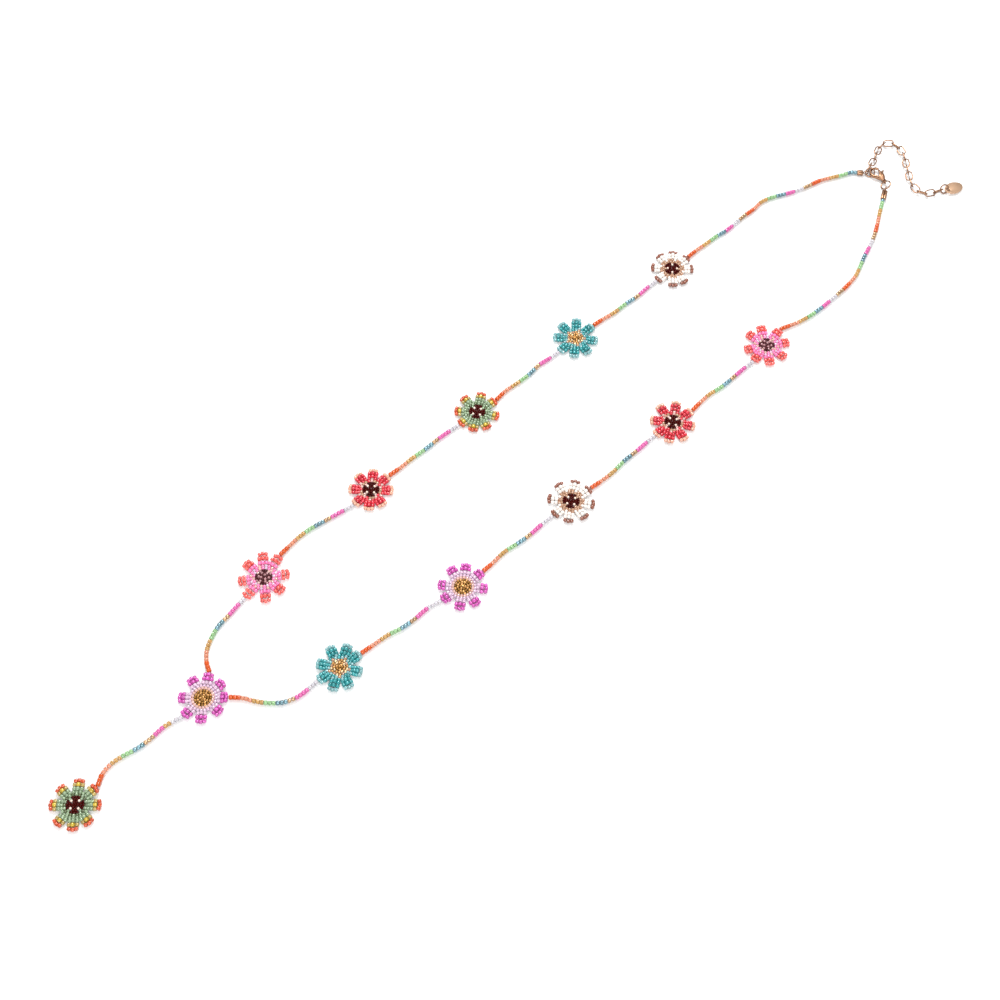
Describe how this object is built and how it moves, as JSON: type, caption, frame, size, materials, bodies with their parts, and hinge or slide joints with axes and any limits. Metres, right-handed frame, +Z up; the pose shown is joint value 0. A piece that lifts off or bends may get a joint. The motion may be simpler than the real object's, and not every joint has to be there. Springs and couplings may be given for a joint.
{
  "type": "beaded sautoir necklace",
  "caption": "Long Y-shaped necklace of seed beads with netted bead flowers, a drop flower, a lobster clasp and an extender chain, laid flat.",
  "frame": {"origin": "on the surface that the necklace lies on, under the middle of its bounding box", "axes": "+Z up out of the surface, +Y along the necklace from the drop flower to the clasp, +X across to the right arm"},
  "size_m": [0.0784, 0.4768, 0.0035],
  "materials": {
    "white_petals": "pearl glass beads",
    "teal_petals": "teal glass beads",
    "green_petals": "grey-green silver-lined glass beads",
    "red_petals": "red glass beads",
    "coral_petals": "pink and coral glass beads",
    "violet_petals": "lavender and magenta glass beads",
    "dark_centre": "dark maroon glass beads",
    "gold_centre": "metallic gold glass beads",
    "bead_string": "glass seed beads in many colours on thread",
    "rose_gold": "polished rose gold plate"
  },
  "bodies": {
    "necklace": {"flower_1_petals": "white_petals", "flower_2_petals": "teal_petals", "flower_3_petals": "green_petals", "flower_4_petals": "red_petals", "flower_5_petals": "coral_petals", "flower_6_petals": "violet_petals", "flower_7_petals": "green_petals", "flower_8_petals": "teal_petals", "flower_9_petals": "violet_petals", "flower_10_petals": "white_petals", "flower_11_petals": "red_petals", "flower_12_petals": "coral_petals", "flower_1_centre": "dark_centre", "flower_2_centre": "gold_centre", "flower_3_centre": "dark_centre", "flower_4_centre": "dark_centre", "flower_5_centre": "dark_centre", "flower_6_centre": "gold_centre", "flower_7_centre": "dark_centre", "flower_8_centre": "gold_centre", "flower_9_centre": "gold_centre", "flower_10_centre": "dark_centre", "flower_11_centre": "dark_centre", "flower_12_centre": "dark_centre", "string_1": "bead_string", "string_2": "bead_string", "string_3": "bead_string", "string_4": "bead_string", "string_5": "bead_string", "string_6": "bead_string", "string_7": "bead_string", "string_8": "bead_string", "string_9": "bead_string", "string_10": "bead_string", "string_11": "bead_string", "string_12": "bead_string", "drop_string": "bead_string", "left_cord_end": "rose_gold", "right_cord_end": "rose_gold", "left_ring": "rose_gold", "clasp_ring": "rose_gold", "clasp_body": "rose_gold", "extender_chain": "rose_gold", "tag_ring": "rose_gold", "tag": "rose_gold"},
    "lever": {"clasp_lever": "rose_gold"}
  },
  "joints": [
    {"name": "lever_hinge", "type": "hinge", "parent": "necklace", "child": "lever", "pos_m": [-0.00015, 0.21387, 0.00135], "axis": [0, 0, 1], "range_deg": [0, 22], "stiffness_Nm_per_rad": 0.014}
  ]
}
